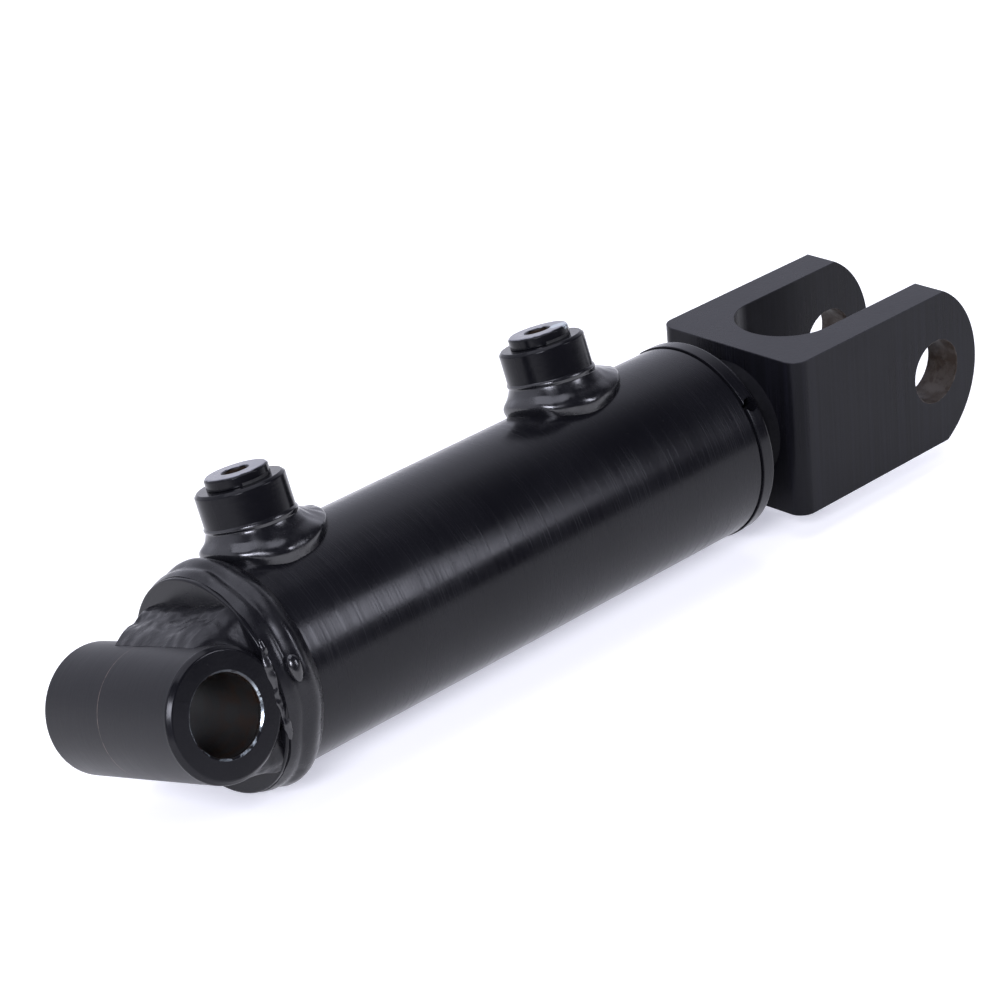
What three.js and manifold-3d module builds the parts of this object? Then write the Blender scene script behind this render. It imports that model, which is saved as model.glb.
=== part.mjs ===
// A double-acting hydraulic cylinder, fully retracted: welded barrel with a cross-tube eye,
// two plugged hose ports, a screwed-in gland, a chromed rod and a welded fork clevis.
// Millimetres. +X runs from the eye to the clevis, +Z is up, the origin is on the floor
// under the middle of the bounding box. The barrel is turned about X against the clevis.

import * as THREE from 'three';
import { mergeVertices } from 'three/addons/utils/BufferGeometryUtils.js';
import Module from 'manifold-3d';

const wasm = await Module();
wasm.setup();

// ---------------------------------------------------------------- driving dimensions

const GAP = 0.3; // clearance between pieces that touch
const ROUND_STEPS = 48; // sides of the large turned pieces
const SMALL_STEPS = 36; // sides of the smaller turned pieces
const HIDDEN_STEPS = 24; // sides of an internal turned piece
const BARREL_TURN = THREE.MathUtils.degToRad(-15.5); // ports lean to +Y

// Stations along the cylinder axis, measured from the cross tube's centre.
const CAP_FACE_X = 16.2;
const CAP_INNER_X = 38;
const BASE_PORT_X = 45;
const ROD_PORT_X = 158.5;
const BARREL_END_X = 201.7;
const GLAND_FACE_X = 206.5;
const CLEVIS_REAR_X = 221;
const SLOT_CENTRE_X = 248.3;
const PIN_X = 284.7;
const TINE_CORNER_X = 289.5;
const TINE_TIP_X = 303.8;

const BARREL_RADIUS = 30;
const BORE_RADIUS = 25;
const CAP_RADIUS = 30.8;
const CAP_CHAMFER = 0.6;
const SPIGOT_FIT_RADIUS = BORE_RADIUS - GAP; // the cap's spigot and the gland in the bore
const GIRTH_WELD_RADIUS = 33;
const GIRTH_WELD_X = [19.3, 30.2];
const GROOVE_ROOT_RADIUS = 26; // where the weld groove between cap and tube is deepest
const CAP_BEVEL_X = [19, 24];
const TUBE_BEVEL_X = [25.2, 29.2];

const CROSS_TUBE_RADIUS = 18;
const CROSS_TUBE_BORE = 11;
const CROSS_TUBE_LENGTH = 60;
const CROSS_TUBE_CHAMFER = 0.8;
const CROSS_WELD_HALF_LENGTH = 24;
const CROSS_WELD_CAP_Z = 22.4; // how high the bead reaches on the cap's face
const CROSS_WELD_MIDDLE = { x: 9, z: 21 };
const CROSS_WELD_TOE = { x: 1, z: 18.8 }; // where it ends on the cross tube
const CROSS_WELD_ROOT_Z = 6;

const BOSS_RADIUS = 12.7;
const BOSS_TOP_Z = 47.2;
const BOSS_CHAMFER = 0.8;
const BOSS_THREAD_END_Z = 35;
const BOSS_THREAD_RADIUS = 6.8;
const PORT_HOLE_RADIUS = 3;
const PORT_WELD_TOP_Z = 36.5;
const PORT_WELD_REACH = { x: 18.6, y: 15 };
const PLUG_TOP_Z = 50.4;
const PLUG_CHAMFER = 0.6;
const SEAL_GROOVE = { inner: 6.8, outer: 8.3, depth: 1.1 }; // under the plug's flange
const PLUG_FLANGE_RADIUS = 8.95;
const PLUG_SHANK_RADIUS = 6.4;
const PLUG_SHANK_END_Z = 37;
const SOCKET_ACROSS_FLATS = 7;
const SOCKET_TURN = THREE.MathUtils.degToRad(18); // one corner's angle from +X
const SOCKET_DEPTH = 7;

const GLAND_RADIUS = 30.5;
const GLAND_INNER_X = 168;
const GLAND_BORE = 15.3;
const SPANNER_HOLE_RADIUS = 2.4;
const SPANNER_HOLE_DEPTH = 5;
const SPANNER_HOLE_ANGLE = THREE.MathUtils.degToRad(70); // from +Z towards -Y
const SPANNER_HOLES = 4;

const ROD_RADIUS = 15;
const SPIGOT_RADIUS = 9;
const PISTON_BORE = SPIGOT_RADIUS + GAP;
const PISTON_RADIUS = 24.4;
const PISTON_RING_RADIUS = 24.65;
const PISTON_X = [52.3, 71.7];
const ROD_SHOULDER_X = 72;
const ROD_END_X = 39.5;
const NUT_X = [41, 52];
const NUT_ACROSS_FLATS = 27;

const CLEVIS_WIDTH = 55;
const CLEVIS_HEIGHT = 50;
const SLOT_WIDTH = 32;
const PIN_HOLE_RADIUS = 10;
const CLEVIS_CORNER_RADIUS = 5;
const CLEVIS_WELD_LEG = 4.5;

// ---------------------------------------------------------------- materials

function finish(color, roughness, metalness) {
  return new THREE.MeshStandardMaterial({ color, roughness, metalness });
}

const blackPaint = finish(0x17171a, 0.4, 0.2);
const glossPaint = finish(0x101013, 0.22, 0.2);
const chrome = finish(0xd8dadd, 0.1, 1.0);
const steel = finish(0x8d8f92, 0.4, 1.0);
const rubber = finish(0x1c1c1c, 0.8, 0.0);
const polyurethane = finish(0x2e4f86, 0.5, 0.0);
const bearingResin = finish(0x6b3f2a, 0.6, 0.0);

// ---------------------------------------------------------------- geometry helpers

// A piece turned about X, Y or Z. The profile is a list of [radius, station] pairs.
function turned(profile, axis, steps = ROUND_STEPS) {
  const points = profile.map(([radius, station]) => new THREE.Vector2(radius, station));
  const geometry = new THREE.LatheGeometry(points, steps);
  if (axis === 'x') geometry.rotateZ(-Math.PI / 2);
  if (axis === 'z') geometry.rotateX(Math.PI / 2);
  return geometry;
}

// The profile of a plain ring, closed on itself.
function ringProfile(inner, outer, from, to) {
  return [[inner, from], [outer, from], [outer, to], [inner, to], [inner, from]];
}

// The profile of a plain solid cylinder.
function barProfile(radius, from, to) {
  return [[0, from], [radius, from], [radius, to], [0, to]];
}

function toSolid(geometry) {
  const bare = geometry.clone();
  bare.deleteAttribute('normal');
  bare.deleteAttribute('uv');
  const merged = mergeVertices(bare);
  const index = merged.index.array;
  const triangles = [];
  for (let i = 0; i < index.length; i += 3) {
    const [a, b, c] = [index[i], index[i + 1], index[i + 2]];
    if (a !== b && b !== c && c !== a) triangles.push(a, b, c);
  }
  const mesh = new wasm.Mesh({
    numProp: 3,
    vertProperties: new Float32Array(merged.attributes.position.array),
    triVerts: new Uint32Array(triangles),
  });
  return new wasm.Manifold(mesh);
}

function toGeometry(solid) {
  const mesh = solid.getMesh();
  const geometry = new THREE.BufferGeometry();
  geometry.setAttribute('position', new THREE.BufferAttribute(mesh.vertProperties, 3));
  geometry.setIndex(new THREE.BufferAttribute(mesh.triVerts, 1));
  return geometry;
}

function cut(blank, ...tools) {
  let solid = toSolid(blank);
  for (const tool of tools) solid = solid.subtract(toSolid(tool));
  return toGeometry(solid);
}

function common(first, second) {
  return toGeometry(toSolid(first).intersect(toSolid(second)));
}

// ---------------------------------------------------------------- barrel and base end

function barrelTube() {
  const profile = [
    [BORE_RADIUS, TUBE_BEVEL_X[0]], [GROOVE_ROOT_RADIUS, TUBE_BEVEL_X[0]],
    [BARREL_RADIUS, TUBE_BEVEL_X[1]], [BARREL_RADIUS, BARREL_END_X],
    [BORE_RADIUS, BARREL_END_X], [BORE_RADIUS, TUBE_BEVEL_X[0]],
  ];
  const portHoles = [BASE_PORT_X, ROD_PORT_X].map((x) => {
    const drill = turned(barProfile(PORT_HOLE_RADIUS, 0, BARREL_RADIUS + 5), 'z', 16);
    return drill.translate(x, 0, 0);
  });
  return cut(turned(profile, 'x'), ...portHoles);
}

// The cap has a weld bevel, a spigot in the bore and a shallow saddle for the cross tube.
function baseCap() {
  const profile = [
    [0, CAP_FACE_X], [CAP_RADIUS - CAP_CHAMFER, CAP_FACE_X], [CAP_RADIUS, CAP_FACE_X + CAP_CHAMFER],
    [CAP_RADIUS, CAP_BEVEL_X[0]], [GROOVE_ROOT_RADIUS, CAP_BEVEL_X[1]],
    [SPIGOT_FIT_RADIUS, CAP_BEVEL_X[1]], [SPIGOT_FIT_RADIUS, CAP_INNER_X - 1],
    [SPIGOT_FIT_RADIUS - 1, CAP_INNER_X], [0, CAP_INNER_X],
  ];
  const saddle = turned(barProfile(CROSS_TUBE_RADIUS + GAP, -40, 40), 'y');
  return cut(turned(profile, 'x'), saddle);
}

function crossTube() {
  const end = CROSS_TUBE_LENGTH / 2;
  const chamfer = CROSS_TUBE_CHAMFER;
  return turned([
    [CROSS_TUBE_BORE, -end + chamfer], [CROSS_TUBE_BORE + chamfer, -end],
    [CROSS_TUBE_RADIUS - chamfer, -end], [CROSS_TUBE_RADIUS, -end + chamfer],
    [CROSS_TUBE_RADIUS, end - chamfer], [CROSS_TUBE_RADIUS - chamfer, end],
    [CROSS_TUBE_BORE + chamfer, end], [CROSS_TUBE_BORE, end - chamfer],
    [CROSS_TUBE_BORE, -end + chamfer],
  ], 'y');
}

// The weld fills the groove between the bevels of cap and tube, and stands up as a round band.
function baseGirthWeld() {
  const [from, to] = GIRTH_WELD_X;
  const crownSteps = 6;
  const crown = [];
  for (let i = 0; i <= crownSteps; i++) {
    const t = i / crownSteps;
    const foot = THREE.MathUtils.lerp(CAP_RADIUS + GAP, BARREL_RADIUS + GAP, t);
    const rise = (GIRTH_WELD_RADIUS - foot) * Math.sin(Math.PI * t);
    crown.push([foot + rise, THREE.MathUtils.lerp(from, to, t)]);
  }
  const rootRadius = GROOVE_ROOT_RADIUS + GAP;
  const root = [
    [BARREL_RADIUS + GAP, TUBE_BEVEL_X[1] - 0.2],
    [rootRadius, TUBE_BEVEL_X[0] - GAP], [rootRadius, CAP_BEVEL_X[1] + 0.4],
  ];
  return turned([...root, ...crown, root[0]], 'x');
}

// One fillet bead along the cross tube, lying between its surface and the cap's face.
function crossTubeWeld(side) {
  const outline = new THREE.Shape();
  outline.moveTo(CAP_FACE_X - GAP, CROSS_WELD_ROOT_Z);
  outline.lineTo(CAP_FACE_X - GAP, CROSS_WELD_CAP_Z);
  const { x, z } = CROSS_WELD_MIDDLE;
  outline.quadraticCurveTo(x, z, CROSS_WELD_TOE.x, CROSS_WELD_TOE.z);
  outline.lineTo(CROSS_WELD_TOE.x, CROSS_WELD_ROOT_Z);
  outline.closePath();
  const depth = 2 * CROSS_WELD_HALF_LENGTH;
  const bead = new THREE.ExtrudeGeometry(outline, { depth, bevelEnabled: false, curveSegments: 5 });
  bead.translate(0, 0, -CROSS_WELD_HALF_LENGTH);
  bead.rotateX(Math.PI / 2);
  if (side < 0) bead.rotateX(Math.PI);
  const tube = turned(barProfile(CROSS_TUBE_RADIUS + GAP, -40, 40), 'y');
  return cut(bead, tube);
}

// ---------------------------------------------------------------- ports

function portBoss() {
  const blank = turned([
    [PORT_HOLE_RADIUS, 20], [BOSS_RADIUS, 20], [BOSS_RADIUS, BOSS_TOP_Z - BOSS_CHAMFER],
    [BOSS_RADIUS - BOSS_CHAMFER, BOSS_TOP_Z], [BOSS_THREAD_RADIUS, BOSS_TOP_Z],
    [BOSS_THREAD_RADIUS, BOSS_THREAD_END_Z], [PORT_HOLE_RADIUS, BOSS_THREAD_END_Z],
    [PORT_HOLE_RADIUS, 20],
  ], 'z', SMALL_STEPS);
  const barrel = turned(barProfile(BARREL_RADIUS + GAP, -25, 25), 'x');
  return cut(blank, barrel);
}

// The barrel's surface height above the axis, at a distance y to the side, with the gap on top.
function saddleHeight(y) {
  return Math.sqrt((BARREL_RADIUS + GAP) ** 2 - y ** 2);
}

// A fillet bead around the boss. Its foot follows the barrel, so it reaches further along X.
function portWeld() {
  const inner = BOSS_RADIUS + GAP;
  const positions = [];
  let size = 0;
  for (let i = 0; i < SMALL_STEPS; i++) {
    const angle = (2 * Math.PI * i) / SMALL_STEPS;
    const [c, s] = [Math.cos(angle), Math.sin(angle)];
    const reach = 1 / Math.hypot(c / PORT_WELD_REACH.x, s / PORT_WELD_REACH.y);
    const footZ = saddleHeight(reach * s);
    const section = [
      [inner, saddleHeight(inner * s)],
      [reach, footZ],
      [reach - 0.3, footZ + 1.6],
      [THREE.MathUtils.lerp(inner, reach, 0.62), THREE.MathUtils.lerp(footZ, PORT_WELD_TOP_Z, 0.62)],
      [inner + 0.8, PORT_WELD_TOP_Z - 0.6],
      [inner, PORT_WELD_TOP_Z],
    ];
    for (const [radius, z] of section) positions.push(radius * c, radius * s, z);
    size = section.length;
  }
  const index = [];
  for (let i = 0; i < SMALL_STEPS; i++) {
    for (let j = 0; j < size; j++) {
      const here = i * size;
      const next = ((i + 1) % SMALL_STEPS) * size;
      const k = (j + 1) % size;
      index.push(here + j, next + j, next + k, here + j, next + k, here + k);
    }
  }
  const geometry = new THREE.BufferGeometry();
  geometry.setAttribute('position', new THREE.Float32BufferAttribute(positions, 3));
  geometry.setIndex(index);
  return geometry;
}

// The base port's bead runs up over the round weld beside it.
function basePortWeld() {
  const band = turned(barProfile(GIRTH_WELD_RADIUS + GAP, 10, GIRTH_WELD_X[1] + GAP), 'x');
  return cut(portWeld(), band.translate(-BASE_PORT_X, 0, 0));
}

// A flanged screw plug with a hollow hexagon and a seal groove under its flange.
function portPlug() {
  const flangeFoot = BOSS_TOP_Z + GAP;
  const blank = turned([
    [0, PLUG_SHANK_END_Z], [PLUG_SHANK_RADIUS - PLUG_CHAMFER, PLUG_SHANK_END_Z],
    [PLUG_SHANK_RADIUS, PLUG_SHANK_END_Z + PLUG_CHAMFER],
    [PLUG_SHANK_RADIUS, flangeFoot + SEAL_GROOVE.depth],
    [SEAL_GROOVE.outer, flangeFoot + SEAL_GROOVE.depth], [SEAL_GROOVE.outer, flangeFoot],
    [PLUG_FLANGE_RADIUS, flangeFoot], [PLUG_FLANGE_RADIUS, PLUG_TOP_Z - PLUG_CHAMFER],
    [PLUG_FLANGE_RADIUS - PLUG_CHAMFER, PLUG_TOP_Z], [0, PLUG_TOP_Z],
  ], 'z', HIDDEN_STEPS);
  const corner = SOCKET_ACROSS_FLATS / Math.sqrt(3);
  const socket = new THREE.CylinderGeometry(corner, corner, 2 * SOCKET_DEPTH, 6);
  socket.rotateX(Math.PI / 2).rotateZ(Math.PI / 2 + SOCKET_TURN).translate(0, 0, PLUG_TOP_Z);
  return cut(blank, socket);
}

function plugSeal() {
  const { inner, outer, depth } = SEAL_GROOVE;
  const profile = ringProfile(inner, outer - GAP, BOSS_TOP_Z + GAP, BOSS_TOP_Z + depth);
  return turned(profile, 'z', HIDDEN_STEPS);
}

// ---------------------------------------------------------------- gland and its rings

const GLAND_GROOVES = {
  oRing: { from: 172, to: 177, floor: 22.2 },
  wearRing: { from: 171, to: 181, floor: 17.5 },
  rodSeal: { from: 185, to: 191, floor: 19.5 },
  wiper: { from: 200, floor: 19 },
};

function gland() {
  const { oRing, wearRing, rodSeal, wiper } = GLAND_GROOVES;
  const flangeX = BARREL_END_X + GAP;
  const blank = turned([
    [GLAND_BORE, GLAND_INNER_X], [SPIGOT_FIT_RADIUS, GLAND_INNER_X],
    [SPIGOT_FIT_RADIUS, oRing.from], [oRing.floor, oRing.from],
    [oRing.floor, oRing.to], [SPIGOT_FIT_RADIUS, oRing.to],
    [SPIGOT_FIT_RADIUS, flangeX], [GLAND_RADIUS - 0.5, flangeX], [GLAND_RADIUS, flangeX + 0.5],
    [GLAND_RADIUS, GLAND_FACE_X - 0.8], [GLAND_RADIUS - 0.8, GLAND_FACE_X],
    [wiper.floor, GLAND_FACE_X], [wiper.floor, wiper.from], [GLAND_BORE, wiper.from],
    [GLAND_BORE, rodSeal.to], [rodSeal.floor, rodSeal.to],
    [rodSeal.floor, rodSeal.from], [GLAND_BORE, rodSeal.from],
    [GLAND_BORE, wearRing.to], [wearRing.floor, wearRing.to],
    [wearRing.floor, wearRing.from], [GLAND_BORE, wearRing.from],
    [GLAND_BORE, GLAND_INNER_X],
  ], 'x', SMALL_STEPS);
  const holes = [];
  for (let i = 0; i < SPANNER_HOLES; i++) {
    const from = GLAND_RADIUS - SPANNER_HOLE_DEPTH;
    const drill = turned(barProfile(SPANNER_HOLE_RADIUS, from, GLAND_RADIUS + 5), 'z', 12);
    drill.translate((flangeX + GLAND_FACE_X) / 2 - 0.1, 0, 0);
    drill.rotateX(SPANNER_HOLE_ANGLE + (2 * Math.PI * i) / SPANNER_HOLES);
    holes.push(drill);
  }
  return cut(blank, ...holes);
}

// A ring that lies in a groove, turned about the cylinder axis.
function ring(inner, outer, from, to) {
  return turned(ringProfile(inner, outer, from, to), 'x', HIDDEN_STEPS);
}

// A round-section ring that lies in a groove.
function oRing(centreRadius, sectionRadius, x) {
  const sides = 6;
  const section = [];
  for (let i = 0; i <= sides; i++) {
    const angle = (2 * Math.PI * i) / sides;
    const r = centreRadius + sectionRadius * Math.sin(angle);
    section.push([r, x - sectionRadius * Math.cos(angle)]);
  }
  return turned(section, 'x', HIDDEN_STEPS);
}

// ---------------------------------------------------------------- piston, rod and nut

const PISTON_GROOVES = [
  { name: 'piston_wear_ring_rear', from: 54.3, to: 58.3, floor: 22.4 },
  { name: 'piston_seal', from: 60, to: 64, floor: 21 },
  { name: 'piston_wear_ring_front', from: 65.7, to: 69.7, floor: 22.4 },
];
const PISTON_O_RING_X = 68.5;

function piston() {
  const profile = [
    [PISTON_BORE, PISTON_X[0]], [PISTON_RADIUS - 1, PISTON_X[0]], [PISTON_RADIUS, PISTON_X[0] + 1],
  ];
  for (const groove of PISTON_GROOVES) {
    profile.push([PISTON_RADIUS, groove.from], [groove.floor, groove.from]);
    profile.push([groove.floor, groove.to], [PISTON_RADIUS, groove.to]);
  }
  profile.push([PISTON_RADIUS, PISTON_X[1] - 1], [PISTON_RADIUS - 1, PISTON_X[1]]);
  profile.push([PISTON_BORE, PISTON_X[1]], [PISTON_BORE, PISTON_X[0]]);
  return turned(profile, 'x', HIDDEN_STEPS);
}

function pistonRod() {
  const end = CLEVIS_REAR_X - GAP;
  const groove = { from: PISTON_O_RING_X - 1.7, to: PISTON_O_RING_X + 1.7, floor: 6.6 };
  return turned([
    [0, ROD_END_X], [SPIGOT_RADIUS - 1, ROD_END_X], [SPIGOT_RADIUS, ROD_END_X + 1],
    [SPIGOT_RADIUS, groove.from], [groove.floor, groove.from],
    [groove.floor, groove.to], [SPIGOT_RADIUS, groove.to],
    [SPIGOT_RADIUS, ROD_SHOULDER_X], [ROD_RADIUS - 1, ROD_SHOULDER_X],
    [ROD_RADIUS, ROD_SHOULDER_X + 1], [ROD_RADIUS, end], [0, end],
  ], 'x', SMALL_STEPS);
}

function rodNut() {
  const length = NUT_X[1] - NUT_X[0];
  const radius = NUT_ACROSS_FLATS / Math.sqrt(3);
  const blank = new THREE.CylinderGeometry(radius, radius, length, 6);
  blank.rotateZ(-Math.PI / 2).translate((NUT_X[0] + NUT_X[1]) / 2, 0, 0);
  const hole = turned(barProfile(PISTON_BORE, NUT_X[0] - 5, NUT_X[1] + 5), 'x', HIDDEN_STEPS);
  return cut(blank, hole);
}

// ---------------------------------------------------------------- clevis

// The plan outline: rounded rear corners and a slot with a half-round end.
function clevisPlan() {
  const half = CLEVIS_WIDTH / 2;
  const slot = SLOT_WIDTH / 2;
  const corner = CLEVIS_CORNER_RADIUS;
  const front = TINE_TIP_X + 5;
  const plan = new THREE.Shape();
  plan.moveTo(front, -slot);
  plan.lineTo(SLOT_CENTRE_X, -slot);
  plan.absarc(SLOT_CENTRE_X, 0, slot, -Math.PI / 2, Math.PI / 2, true);
  plan.lineTo(front, slot);
  plan.lineTo(front, half);
  plan.lineTo(CLEVIS_REAR_X + corner, half);
  plan.absarc(CLEVIS_REAR_X + corner, half - corner, corner, Math.PI / 2, Math.PI, false);
  plan.lineTo(CLEVIS_REAR_X, -half + corner);
  plan.absarc(CLEVIS_REAR_X + corner, -half + corner, corner, Math.PI, 1.5 * Math.PI, false);
  plan.lineTo(front, -half);
  plan.closePath();
  return plan;
}

// The side outline: square at the rear, with the tines' ends cut to one arc through three points.
function clevisSide() {
  const half = CLEVIS_HEIGHT / 2;
  const reach = TINE_TIP_X - TINE_CORNER_X;
  const radius = (half ** 2 + reach ** 2) / (2 * reach);
  const sweep = Math.asin(half / radius);
  const side = new THREE.Shape();
  side.moveTo(CLEVIS_REAR_X - 5, -half);
  side.lineTo(TINE_CORNER_X, -half);
  side.absarc(TINE_TIP_X - radius, 0, radius, -sweep, sweep, false);
  side.lineTo(CLEVIS_REAR_X - 5, half);
  side.closePath();
  return side;
}

function clevis() {
  const plan = new THREE.ExtrudeGeometry(clevisPlan(), {
    depth: CLEVIS_HEIGHT + 10, bevelEnabled: false, curveSegments: 20,
  });
  plan.translate(0, 0, -CLEVIS_HEIGHT / 2 - 5);
  const side = new THREE.ExtrudeGeometry(clevisSide(), {
    depth: CLEVIS_WIDTH + 10, bevelEnabled: false, curveSegments: 24,
  });
  side.rotateX(Math.PI / 2).translate(0, CLEVIS_WIDTH / 2 + 5, 0);
  const drill = turned(barProfile(PIN_HOLE_RADIUS, -40, 40), 'y', 40);
  drill.translate(PIN_X, 0, 0);
  return cut(common(plan, side), drill);
}

function clevisWeld() {
  const inner = ROD_RADIUS + GAP;
  const face = CLEVIS_REAR_X - GAP;
  const profile = [[inner, face - CLEVIS_WELD_LEG], [inner + 1.2, face - CLEVIS_WELD_LEG + 0.4]];
  profile.push([inner + 0.72 * CLEVIS_WELD_LEG, face - 0.72 * CLEVIS_WELD_LEG]);
  profile.push([inner + CLEVIS_WELD_LEG - 0.4, face - 1.2], [inner + CLEVIS_WELD_LEG, face]);
  return turned([...profile, [inner, face], profile[0]], 'x', SMALL_STEPS);
}

// ---------------------------------------------------------------- assembly

function addPiece(group, name, geometry, material, x = 0) {
  const mesh = new THREE.Mesh(geometry, material);
  mesh.name = name;
  mesh.position.x = x;
  group.add(mesh);
}

function buildBarrel() {
  const barrel = new THREE.Group();
  barrel.rotation.x = BARREL_TURN;
  addPiece(barrel, 'barrel_tube', barrelTube(), blackPaint);
  addPiece(barrel, 'base_cap', baseCap(), blackPaint);
  addPiece(barrel, 'cross_tube', crossTube(), blackPaint);
  addPiece(barrel, 'base_girth_weld', baseGirthWeld(), glossPaint);
  addPiece(barrel, 'cross_tube_weld_upper', crossTubeWeld(1), glossPaint);
  addPiece(barrel, 'cross_tube_weld_lower', crossTubeWeld(-1), glossPaint);
  for (const [end, x, weld] of [['base', BASE_PORT_X, basePortWeld], ['rod', ROD_PORT_X, portWeld]]) {
    addPiece(barrel, `${end}_port_boss`, portBoss(), blackPaint, x);
    addPiece(barrel, `${end}_port_weld`, weld(), glossPaint, x);
    addPiece(barrel, `${end}_port_plug`, portPlug(), blackPaint, x);
    addPiece(barrel, `${end}_plug_seal`, plugSeal(), rubber, x);
  }
  addPiece(barrel, 'gland', gland(), blackPaint);
  const { oRing: seal, wearRing, rodSeal, wiper } = GLAND_GROOVES;
  const fit = GAP + 0.1;
  addPiece(barrel, 'gland_o_ring', oRing(23.5, 1.1, seal.from + 1.5), rubber);
  const backup = ring(seal.floor + fit, SPIGOT_FIT_RADIUS - 0.1, seal.to - 1.8, seal.to - GAP);
  addPiece(barrel, 'gland_backup_ring', backup, bearingResin);
  const guide = ring(GLAND_BORE, wearRing.floor - fit, wearRing.from + GAP, wearRing.to - GAP);
  addPiece(barrel, 'gland_wear_ring', guide, bearingResin);
  const lip = ring(GLAND_BORE, rodSeal.floor - fit, rodSeal.from + GAP, rodSeal.to - GAP);
  addPiece(barrel, 'rod_seal', lip, polyurethane);
  const scraper = ring(GLAND_BORE, wiper.floor - fit, wiper.from + GAP, GLAND_FACE_X);
  addPiece(barrel, 'rod_wiper', scraper, rubber);
  return barrel;
}

function buildPiston() {
  const group = new THREE.Group();
  group.rotation.x = BARREL_TURN;
  addPiece(group, 'piston', piston(), steel);
  for (const { name, from, to, floor } of PISTON_GROOVES) {
    const material = name === 'piston_seal' ? polyurethane : bearingResin;
    addPiece(group, name, ring(floor + GAP + 0.1, PISTON_RING_RADIUS, from + GAP, to - GAP), material);
  }
  addPiece(group, 'piston_o_ring', oRing(7.95, 1.05, PISTON_O_RING_X), rubber);
  return group;
}

function buildRod() {
  const rod = new THREE.Group();
  addPiece(rod, 'piston_rod', pistonRod(), chrome);
  addPiece(rod, 'rod_nut', rodNut(), steel);
  addPiece(rod, 'clevis', clevis(), blackPaint);
  addPiece(rod, 'clevis_weld', clevisWeld(), glossPaint);
  return rod;
}

const cylinder = new THREE.Group();
cylinder.position.x = (CROSS_TUBE_RADIUS - TINE_TIP_X) / 2;
cylinder.position.z = GIRTH_WELD_RADIUS;
cylinder.add(buildBarrel(), buildPiston(), buildRod());

export default cylinder;
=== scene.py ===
"""Looks of the hydraulic cylinder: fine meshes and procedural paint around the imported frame.

Lengths in the shape functions are millimetres in the barrel's own frame: its origin is the middle
of the cross tube, +X runs along the cylinder, +Y along the cross tube and +Z through the ports.
The rod's frame is the same without the barrel's lean.
"""
import math

import bmesh
import bpy
from mathutils import Matrix, Vector, noise


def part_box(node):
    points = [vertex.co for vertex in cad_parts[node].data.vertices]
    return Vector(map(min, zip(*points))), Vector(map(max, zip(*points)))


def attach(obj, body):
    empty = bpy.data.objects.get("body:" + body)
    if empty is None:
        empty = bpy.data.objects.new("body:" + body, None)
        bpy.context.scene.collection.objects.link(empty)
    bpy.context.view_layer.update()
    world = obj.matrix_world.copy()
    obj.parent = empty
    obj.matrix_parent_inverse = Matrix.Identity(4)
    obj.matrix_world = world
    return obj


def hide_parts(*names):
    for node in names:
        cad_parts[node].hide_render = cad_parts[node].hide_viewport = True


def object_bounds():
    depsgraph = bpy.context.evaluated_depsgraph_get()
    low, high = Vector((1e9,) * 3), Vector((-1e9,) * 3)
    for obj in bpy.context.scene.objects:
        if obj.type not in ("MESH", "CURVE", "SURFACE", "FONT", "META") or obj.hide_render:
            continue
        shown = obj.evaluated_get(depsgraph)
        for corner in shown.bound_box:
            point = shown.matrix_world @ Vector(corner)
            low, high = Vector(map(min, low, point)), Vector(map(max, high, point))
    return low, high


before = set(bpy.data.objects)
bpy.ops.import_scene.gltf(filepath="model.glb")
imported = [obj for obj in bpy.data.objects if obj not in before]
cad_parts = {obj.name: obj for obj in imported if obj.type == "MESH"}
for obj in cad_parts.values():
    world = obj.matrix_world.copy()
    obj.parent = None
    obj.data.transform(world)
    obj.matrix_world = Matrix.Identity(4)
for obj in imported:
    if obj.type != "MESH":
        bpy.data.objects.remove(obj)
cad_low, cad_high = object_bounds()

MM = 0.001
TAU = 2 * math.pi


# ------------------------------------------------------------------ measures from the frame

def span(node, axis):
    """The node's lowest and highest coordinate along one axis, in metres."""
    low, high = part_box(node)
    return low[axis], high[axis]


def middle(node):
    """The middle of the node's box, in metres."""
    low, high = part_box(node)
    return (low + high) / 2


def half_size(node, axis):
    """Half the node's size along one axis, in millimetres."""
    low, high = span(node, axis)
    return (high - low) / 2 / MM


EYE = middle("cross_tube")


def along(node):
    """Where the node starts and ends along the cylinder, from the eye's centre, in millimetres."""
    low, high = span(node, 0)
    return (low - EYE.x) / MM, (high - EYE.x) / MM


plug_offset = middle("base_port_plug") - EYE
LEAN = math.atan2(plug_offset.y, plug_offset.z)
BARREL = Matrix.Translation(EYE) @ Matrix.Rotation(-LEAN, 4, "X") @ Matrix.Scale(MM, 4)
ROD = Matrix.Translation(EYE) @ Matrix.Scale(MM, 4)
CROSS = BARREL @ Matrix.Rotation(math.pi / 2, 4, "Z")

CAP_FACE, CAP_END = along("base_cap")
TUBE_START, TUBE_END = along("barrel_tube")
TUBE_RADIUS = half_size("barrel_tube", 2)
CAP_RADIUS = half_size("base_cap", 2)
WELD_END = along("base_girth_weld")[1]
WELD_RADIUS = half_size("base_girth_weld", 2)
EYE_RADIUS = half_size("cross_tube", 0)
EYE_HALF = half_size("cross_tube", 1) / math.cos(LEAN) - EYE_RADIUS * math.tan(LEAN)
GLAND_START, GLAND_END = along("gland")
GLAND_RADIUS = half_size("gland", 2)
ROD_START, ROD_END = along("piston_rod")
ROD_RADIUS = half_size("piston_rod", 1)
WIPER_RADIUS = half_size("rod_wiper", 1)
CLEVIS_REAR, CLEVIS_TIP = along("clevis")
CLEVIS_HALF_WIDTH = half_size("clevis", 1)
CLEVIS_HALF_HEIGHT = half_size("clevis", 2)
BOSS_RADIUS = half_size("base_port_boss", 0)
PLUG_RADIUS = half_size("base_port_plug", 0)
PORTS = {end: (middle(f"{end}_port_boss").x - EYE.x) / MM for end in ("base", "rod")}


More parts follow.
